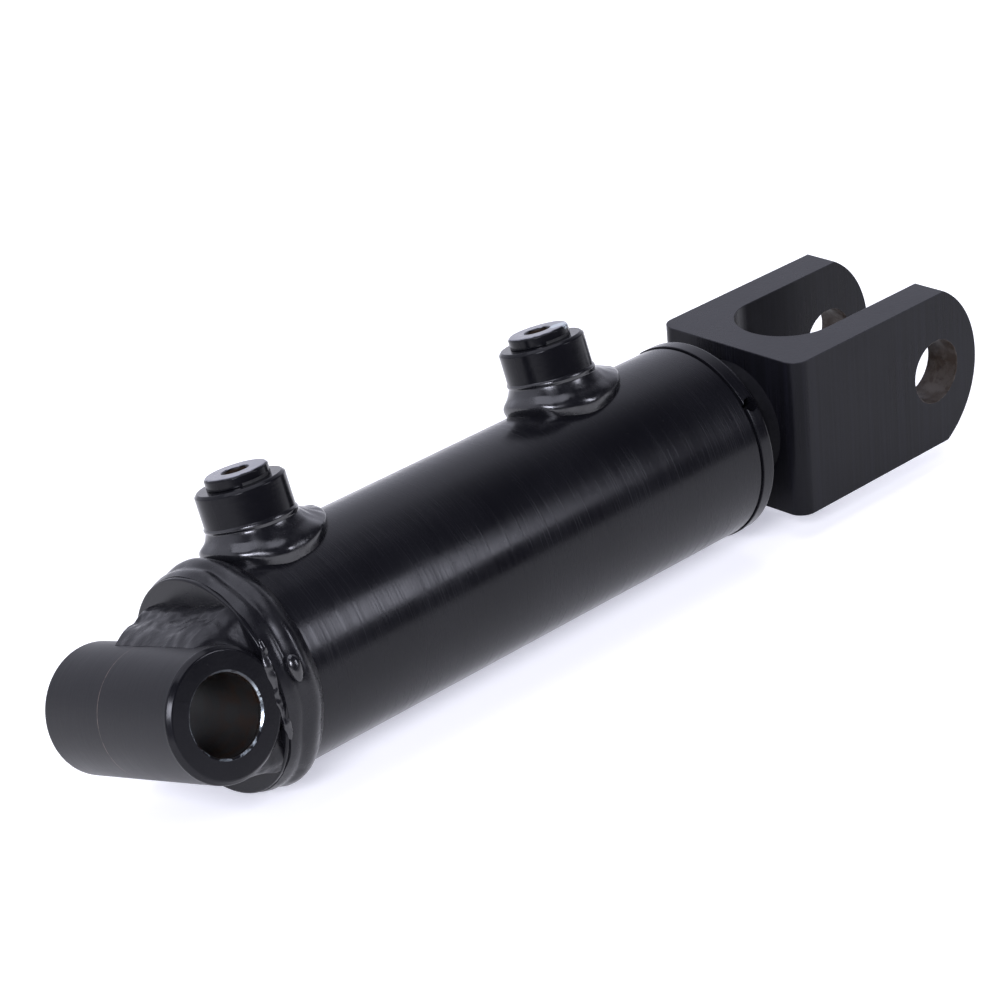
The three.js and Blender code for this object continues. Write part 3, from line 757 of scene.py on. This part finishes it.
def build_cross_weld(side, material):
    """The wide fillet from the cross tube's crown up to the cap's face, on one side of the tube."""
    steps, across = 240, 36
    near, far = -EYE_HALF + 1.5, EYE_HALF - 4.5
    corner_angle = math.asin(CAP_FACE / EYE_RADIUS) * 0.98
    corner_z = EYE_RADIUS * math.cos(corner_angle)
    vertices = []
    for i in range(steps + 1):
        u = i / steps
        y = near + (far - near) * u
        slant = 4.5 * ease((u - 0.6) / 0.4)
        full = ease((y - near) / 5) * ease((far - y) / 9)
        rim = math.sqrt(max((CAP_RADIUS - 0.6) ** 2 - y * y, 1))
        top_z = min(CROSS_WELD_TOP, rim) + 0.35 * wobble(0, y, 0, 6, 4.4)
        toe_angle = 0.05 + (corner_angle - 0.10) * (1 - full) + 0.05 * wobble(0, y, 0, 5, 8.1)
        toe_x, toe_z = EYE_RADIUS * math.sin(toe_angle), EYE_RADIUS * math.cos(toe_angle) - 0.15
        top_z = corner_z + (top_z - corner_z) * (0.08 + 0.92 * full)
        for j in range(across + 1):
            t = j / across
            x = toe_x + (CAP_FACE + 0.3 - toe_x) * t
            z = toe_z + (top_z - toe_z) * t
            belly = 1.0 * bump(t, 0.30, 0.42) * full
            shelf = 0.7 * bump(t, 0.80, 0.34) * full
            overlap = 0.55 * bump(y, -14, 3.0) * bump(t, 0.5, 0.6)
            squiggle = 0.34 * wobble(x, y, z, 2.6, 6.6) * bump(t, 0.65, 0.5)
            lumps = 0.40 * wobble(x, y, z, 4.5, 1.2) * bump(t, 0.5, 0.5)
            height = belly + shelf + overlap + squiggle + lumps
            vertices.append((x - 0.35 * height, y - slant * (1 - t), side * (z + 0.93 * height)))
        vertices.append((CAP_FACE + 0.3, y, side * (corner_z - 1)))
        vertices.append((toe_x, y - slant, side * (toe_z - 1.2)))
    faces = strips(steps, across + 3, closed=False)
    name = "upper" if side > 0 else "lower"
    obj = new_object(f"cross_tube_weld_{name}_bead", vertices, faces, BARREL)
    smooth(obj, 60, weighted=False)
    place_piece(obj, "barrel", material, [f"cross_tube_weld_{name}"])


def build_end_bead(side, material):
    """The lumpy end of the fillet that wraps down between the cross tube's end and the cap's rim."""
    steps, around = 90, 24
    half_length = 14
    vertices = []
    for i in range(steps + 1):
        u = i / steps
        z = half_length - 2 * half_length * u
        radius = (1.1 + 0.4 * bump(u, 0.35, 0.25)) * math.sqrt(max(1 - (2 * u - 1) ** 4, 0.003))
        centre_x = CAP_FACE + 0.6 + 0.4 * wobble(0, 0, z, 5, 2.2)
        centre_y = side * (EYE_HALF - 0.7)
        for j in range(around):
            angle = TAU * j / around
            lump = 1 + 0.35 * wobble(2 * math.cos(angle), 2 * math.sin(angle), z, 2.3, 3.3)
            x = centre_x + 1.25 * radius * lump * math.cos(angle)
            vertices.append((x, centre_y + radius * lump * math.sin(angle), z))
    faces = strips(steps, around, closed=False)
    name = "near" if side < 0 else "far"
    obj = new_object(f"eye_end_bead_{name}", vertices, faces, BARREL)
    smooth(obj, 60, weighted=False)
    place_piece(obj, "barrel", material)


def build_spatter(material):
    """A drop of weld metal frozen on the girth weld, with its tail running down."""
    spot = Matrix.Translation((SPATTER_X, 0, WELD_RADIUS - 0.6))
    place = BARREL @ Matrix.Rotation(SPATTER_ANGLE, 4, "X") @ spot
    steps, rings = 40, 24
    head, tail_length = 2.6, 2.6
    vertices, faces = [(0, head, 0)], []
    for i in range(1, rings):
        v = math.pi * i / rings
        for j in range(steps):
            angle = TAU * j / steps
            taper = 1 - 0.25 * ease((1 - math.cos(v)) / 2)
            x = 2.4 * math.sin(v) * math.cos(angle) * taper
            z = 2.0 * math.sin(v) * math.sin(angle) * taper
            vertices.append((x, head * math.cos(v) - tail_length * (1 - math.cos(v)) / 2, z))
    vertices.append((0, -head - tail_length, 0))
    for j in range(steps):
        faces.append([0, 1 + j, 1 + (j + 1) % steps])
        last = 1 + (rings - 2) * steps
        faces.append([len(vertices) - 1, last + (j + 1) % steps, last + j])
    for i in range(rings - 2):
        here, there = 1 + i * steps, 1 + (i + 1) * steps
        for j in range(steps):
            k = (j + 1) % steps
            faces.append([here + j, here + k, there + k, there + j])
    obj = new_object("weld_spatter_drop", vertices, faces, place)
    smooth(obj, 60, weighted=False)
    place_piece(obj, "barrel", material)


def port_place(end):
    """The port's own frame, with local X pointing out of the barrel along the port."""
    shift = Matrix.Translation((PORTS[end], 0, 0))
    return BARREL @ shift @ Matrix.Rotation(-math.pi / 2, 4, "Y")


def build_port_boss(end, material):
    """A port's boss with its stepped bore, cut away where it would reach into the tube."""
    foot, step = 24, 35
    wide, narrow = 6.8, 3
    profile = rounded([
        (foot, narrow), (foot, BOSS_RADIUS), (BOSS_TOP - BOSS_CHAMFER, BOSS_RADIUS, 0.5),
        (BOSS_TOP, BOSS_RADIUS - BOSS_CHAMFER, 0.5), (BOSS_TOP, wide), (step, wide),
        (step, narrow), (foot, narrow),
    ])
    obj = turned(f"{end}_port_boss_skin", profile, port_place(end), 160)
    saddle_place = BARREL @ Matrix.Translation((PORTS[end], 0, 0))
    boolean(obj, cutter("saddle", -60, 60, BOSS_SADDLE, saddle_place, 160), "DIFFERENCE")
    smooth(obj)
    place_piece(obj, "barrel", material, [f"{end}_port_boss"])


def build_port_plug(end, material):
    """The plug that closes a port, with a flange and a hexagon socket."""
    foot = BOSS_TOP + 0.05
    profile = rounded([
        (37, 0), (37, 5.8), (37.6, 6.4), (foot + 1.3, 6.4), (foot + 1.3, 8.3), (foot, 8.3),
        (foot, PLUG_RADIUS, 0.2), (PLUG_TOP - PLUG_CHAMFER, PLUG_RADIUS, 0.3),
        (PLUG_TOP, PLUG_RADIUS - PLUG_CHAMFER, 0.3), (PLUG_TOP, 0),
    ])
    place = port_place(end)
    obj = turned(f"{end}_port_plug_body", profile, place, 144)
    corners = [(SOCKET_CORNER * math.cos(SOCKET_TURN + TAU * k / 6),
                SOCKET_CORNER * math.sin(SOCKET_TURN + TAU * k / 6)) for k in range(6)]
    low, high = PLUG_TOP - SOCKET_DEPTH, PLUG_TOP + 3
    socket = prism("socket", corners, "Z", low, high, BARREL @ Matrix.Translation((PORTS[end], 0, 0)))
    boolean(obj, socket, "DIFFERENCE")
    low, high = PLUG_TOP - 0.8, PLUG_TOP + 1
    cone = [(low, 0), (low, SOCKET_CORNER - 0.7), (high, SOCKET_CORNER + 1.1), (high, 0)]
    boolean(obj, turned("lead_in", cone, place, 96), "DIFFERENCE")
    smooth(obj)
    place_piece(obj, "barrel", material, [f"{end}_port_plug"])


def build_gland(material):
    """The gland, with four pin-spanner holes round its flange."""
    body = TUBE_RADIUS - TUBE_WALL - 0.3
    profile = rounded([
        (GLAND_START, GLAND_BORE), (GLAND_START, body, 0.6), (GLAND_FLANGE, body),
        (GLAND_FLANGE, GLAND_RADIUS, 0.3), (GLAND_END, GLAND_RADIUS, 0.9),
        (GLAND_END, WIPER_RADIUS + 0.4, 0.3), (GLAND_END - 6.5, WIPER_RADIUS + 0.4),
        (GLAND_END - 6.5, GLAND_BORE), (GLAND_START, GLAND_BORE),
    ])
    obj = turned("gland_skin", profile, BARREL, 256)
    centre = Matrix.Translation(((GLAND_FLANGE + GLAND_END) / 2 - 0.1, 0, 0))
    outward = Matrix.Rotation(-math.pi / 2, 4, "Y")
    for quarter in range(4):
        turn = SPANNER_ANGLE + quarter * math.pi / 2
        place = BARREL @ Matrix.Rotation(turn, 4, "X") @ centre @ outward
        low, high = GLAND_RADIUS - 5, GLAND_RADIUS + 4
        boolean(obj, cutter("drill", low, high, SPANNER_RADIUS, place, 48), "DIFFERENCE")
    smooth(obj)
    place_piece(obj, "barrel", material, ["gland"])


def build_wiper(material):
    """The wiper's ring and its lip on the rod."""
    back, front = along("rod_wiper")
    profile = rounded([
        (back, ROD_RADIUS + 0.3), (back, WIPER_RADIUS, 0.3), (front - 0.6, WIPER_RADIUS, 0.5),
        (front - 0.6, ROD_RADIUS + 1.4, 0.4), (front + 0.1, ROD_RADIUS + 0.5, 0.2),
        (front - 0.3, ROD_RADIUS + 0.1, 0.1), (back + 2, ROD_RADIUS + 0.6), (back, ROD_RADIUS + 0.3),
    ])
    obj = turned("rod_wiper_lip", profile, BARREL, 160)
    smooth(obj)
    place_piece(obj, "barrel", material, ["rod_wiper"])


# ------------------------------------------------------------------ rod pieces

def build_rod(material):
    """The rod, with the thinner spigot that carries the piston."""
    profile = rounded([
        (ROD_START, 0), (ROD_START, ROD_SPIGOT, 1), (ROD_SHOULDER, ROD_SPIGOT),
        (ROD_SHOULDER, ROD_RADIUS, 1), (ROD_END + 0.3, ROD_RADIUS), (ROD_END + 0.3, 0),
    ])
    obj = turned("piston_rod_chromed", profile, ROD, 192)
    smooth(obj)
    place_piece(obj, "rod", material, ["piston_rod"])


def build_clevis(material):
    """The fork: a slotted block with rounded tines and a pin hole through both."""
    half = CLEVIS_HALF_WIDTH
    front = CLEVIS_TIP + 6
    rear = CLEVIS_REAR
    corner = CLEVIS_CORNER
    plan = [(front, -SLOT_HALF_WIDTH)]
    plan += arc((SLOT_CENTRE, 0), SLOT_HALF_WIDTH, 270, 90, 64)
    plan += [(front, SLOT_HALF_WIDTH), (front, half)]
    plan += arc((rear + corner, half - corner), corner, 90, 180, 12)
    plan += arc((rear + corner, -half + corner), corner, 180, 270, 12)
    plan += [(front, -half)]
    high = CLEVIS_HALF_HEIGHT
    obj = prism("clevis_fork", plan, "Z", -high, high, ROD)
    reach = CLEVIS_TIP - TINE_CORNER
    radius = (high ** 2 + reach ** 2) / (2 * reach)
    sweep = math.degrees(math.asin(high / radius))
    side = [(rear - 5, high + 5), (rear - 5, -high - 5), (TINE_CORNER, -high - 5)]
    side += arc((CLEVIS_TIP - radius, 0), radius, -sweep, sweep, 64)
    side += [(TINE_CORNER, high + 5)]
    outline = prism("outline", side, "Y", -half - 5, half + 5, ROD)
    boolean(obj, outline, "INTERSECT")
    place = ROD @ Matrix.Translation((PIN_CENTRE, 0, 0)) @ Matrix.Rotation(math.pi / 2, 4, "Z")
    boolean(obj, cutter("drill", -60, 60, PIN_HOLE, place, 128), "DIFFERENCE")
    soften_edges(obj, 0.7)
    smooth(obj)
    place_piece(obj, "rod", material, ["clevis"])


def build_clevis_weld(material):
    """The fillet between rod and clevis, rippled like a stack of coins."""
    steps, across = 300, 14
    vertices = []
    leg = 4.8
    for i in range(steps):
        angle = TAU * i / steps
        ripple = 0.05 * math.sin(34 * angle)
        for j in range(across + 1):
            t = j / across
            uneven = 0.2 * wobble(8 * math.cos(angle), 8 * math.sin(angle), 0, 4)
            bulge = (0.9 + ripple + uneven) * bump(t, 0.5, 0.6)
            x = CLEVIS_REAR + 0.1 - leg * (1 - t) - 0.7 * bulge
            radius = ROD_RADIUS - 0.1 + leg * t + 0.7 * bulge
            vertices.append((x, radius * math.cos(angle), radius * math.sin(angle)))
        inner = ROD_RADIUS - 0.6
        vertices.append((CLEVIS_REAR + 0.1, inner * math.cos(angle), inner * math.sin(angle)))
    faces = strips(steps, across + 2)
    obj = new_object("clevis_weld_bead", vertices, faces, ROD)
    smooth(obj, 60, weighted=False)
    place_piece(obj, "rod", material, ["clevis_weld"])


# ------------------------------------------------------------------ pieces kept from the frame

def finish_inner_pieces():
    """The hidden pieces keep their CAD shape. They get smooth shading and their own finishes."""
    turned_marks = (2.5, 0.1, 0.1)
    finishes = {
        "steel": plain("inner_steel", INNER_STEEL, 0.32, 1.0, BARREL, turned_marks),
        "rubber": plain("inner_rubber", INNER_RUBBER, 0.7, 0.0, BARREL, (0.4, 0.4, 0.4)),
        "polyurethane": plain("inner_seal", POLYURETHANE, 0.4, 0.0, BARREL, (0.5, 0.5, 0.5)),
        "resin": plain("inner_resin", RESIN, 0.55, 0.0, BARREL, (1.5, 1.5, 1.5), 0.03),
    }
    kinds = {
        "steel": ["piston", "rod_nut"],
        "rubber": ["base_plug_seal", "rod_plug_seal", "gland_o_ring", "piston_o_ring"],
        "polyurethane": ["piston_seal", "rod_seal"],
        "resin": ["gland_backup_ring", "gland_wear_ring", "piston_wear_ring_rear",
                  "piston_wear_ring_front"],
    }
    for kind, names in kinds.items():
        for name in names:
            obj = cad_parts[name]
            obj.data.materials.clear()
            obj.data.materials.append(finishes[kind])
            smooth(obj, 25)


# ------------------------------------------------------------------ stage, light and camera

STUDIO_TINT = rgb(0.92, 0.93, 1.08)
WALL_LIGHT = 1.1
DARK_LIGHT = 0.02
TOWARDS_WALL = (-0.1, 0.99, 0.0)
DOWN = (0.0, 0.0, -1.0)
FLOOR_PALE = rgb(0.88, 0.87, 0.81)
FLOOR_STAIN = rgb(0.84, 0.83, 0.77)
FLOOR_GLOW = 0.48
FLOOR_HALF = 6.0

# Each softbox: name, place and size in metres, power in watts.
SOFTBOXES = [
    ("right_softbox", (0.53, -0.88, 0.59), (0.26, 0.42), 4.2),
    ("left_softbox", (-1.06, -0.75, 0.80), (0.45, 0.42), 19.0),
    ("overhead_softbox", (-0.1, 0.3, 1.5), (1.5, 1.3), 15.0),
]


def build_stage():
    """A wide, pale, faintly glowing floor under the part."""
    s = Shader("studio_floor")
    s.set(base_color=s.blend(s.noise(s.coords, 3.0, 4.0), FLOOR_PALE, FLOOR_STAIN))
    s.set(roughness=0.75, emission_color=STUDIO_TINT, emission_strength=FLOOR_GLOW)
    signs = [(-1, -1), (1, -1), (1, 1), (-1, 1)]
    corners = [(x * FLOOR_HALF, y * FLOOR_HALF, 0) for x, y in signs]
    ground = Matrix.Translation((0, 0, cad_low.z))
    floor = new_object("studio_floor_plane", corners, [[0, 1, 2, 3]], ground)
    floor.data.materials.append(s.material)


def area_light(name, place, target, size, power):
    """A rectangular lamp that faces the target. size is (width, height) in metres."""
    data = bpy.data.lights.new(name, "AREA")
    data.shape = "RECTANGLE"
    data.size, data.size_y = size
    data.energy = power
    data.color = STUDIO_TINT[:3]
    light = bpy.data.objects.new(name, data)
    light.location = place
    light.rotation_euler = (Vector(target) - Vector(place)).to_track_quat("-Z", "Y").to_euler()
    bpy.context.scene.collection.objects.link(light)


def build_light():
    """A pale studio: bright behind, dark in front and overhead, with three softboxes."""
    world = bpy.data.worlds.new("studio")
    bpy.context.scene.world = world
    world.use_nodes = True
    nodes, links = world.node_tree.nodes, world.node_tree.links
    background = nodes["Background"]
    coords = nodes.new("ShaderNodeTexCoord")

    def ramp(direction, low, high):
        """Rises from 0 to 1 as the view direction turns towards the given one."""
        facing = nodes.new("ShaderNodeVectorMath")
        facing.operation = "DOT_PRODUCT"
        facing.inputs[1].default_value = direction
        links.new(coords.outputs["Generated"], facing.inputs[0])
        shade = nodes.new("ShaderNodeMapRange")
        shade.interpolation_type = "SMOOTHSTEP"
        shade.inputs["From Min"].default_value = low
        shade.inputs["From Max"].default_value = high
        links.new(facing.outputs["Value"], shade.inputs["Value"])
        return shade.outputs["Result"]

    wall = nodes.new("ShaderNodeMath")
    wall.operation = "MULTIPLY"
    links.new(ramp(TOWARDS_WALL, -0.3, 0.4), wall.inputs[0])
    links.new(ramp(DOWN, -0.92, -0.68), wall.inputs[1])
    level = nodes.new("ShaderNodeMath")
    level.operation = "MULTIPLY_ADD"
    level.inputs[1].default_value = WALL_LIGHT - DARK_LIGHT
    level.inputs[2].default_value = DARK_LIGHT
    links.new(wall.outputs[0], level.inputs[0])
    links.new(level.outputs[0], background.inputs["Strength"])
    background.inputs["Color"].default_value = STUDIO_TINT
    for name, place, size, power in SOFTBOXES:
        area_light(name, place, (cad_low + cad_high) / 2, size, power)


def build_camera():
    """The photo's view: a long lens, from the eye's side and above, rolled a little."""
    data = bpy.data.cameras.new("photo_camera")
    data.sensor_width = 36
    data.lens = 117.5
    camera = bpy.data.objects.new("photo_camera", data)
    azimuth, elevation, roll = math.radians(-41.83), math.radians(25.55), math.radians(-5.48)
    distance = 0.93
    aim = EYE + Vector((0.1301, 0.0058, 0.0080))
    back = Vector((math.sin(azimuth) * math.cos(elevation),
                   -math.cos(azimuth) * math.cos(elevation), math.sin(elevation)))
    camera.location = aim + back * distance
    look = (-back).to_track_quat("-Z", "Y").to_matrix().to_4x4()
    camera.matrix_world = Matrix.Translation(camera.location) @ look @ Matrix.Rotation(roll, 4, "Z")
    bpy.context.scene.collection.objects.link(camera)
    bpy.context.scene.camera = camera
    bpy.context.scene.view_settings.view_transform = "Standard"


def build_object():
    """Builds every piece with its finish."""
    barrel_paint = barrel_material()
    glossy_weld = weld_material("weld_black", 0.15, 0.60, 0.02)
    satin_weld = weld_material("weld_satin", 0.20, 0.28, 0.012)
    rough_weld = weld_material("weld_rough", 0.26, 0.22, 0.06)
    dull_weld = weld_material("weld_dull", 0.45, 0.06, 0.03)
    boss_paint = boss_material()
    plug_paint = plug_material()
    build_barrel_tube(barrel_paint)
    build_base_cap(barrel_paint)
    build_cross_tube(eye_material())
    build_girth_weld(satin_weld)
    for side in (1, -1):
        build_cross_weld(side, rough_weld)
        build_end_bead(side, glossy_weld)
    build_spatter(glossy_weld)
    for end, seed in (("base", 2.0), ("rod", 17.0)):
        build_port_boss(end, boss_paint)
        build_port_weld(end, glossy_weld, seed)
        build_port_plug(end, plug_paint)
    build_gland(barrel_paint)
    build_wiper(plain("wiper_rubber", WIPER_RUBBER, 0.6, 0.0, BARREL, (0.5, 0.5, 0.5)))
    build_rod(rod_material())
    build_clevis(clevis_material())
    build_clevis_weld(dull_weld)
    finish_inner_pieces()


build_camera()
build_stage()
build_light()
build_object()
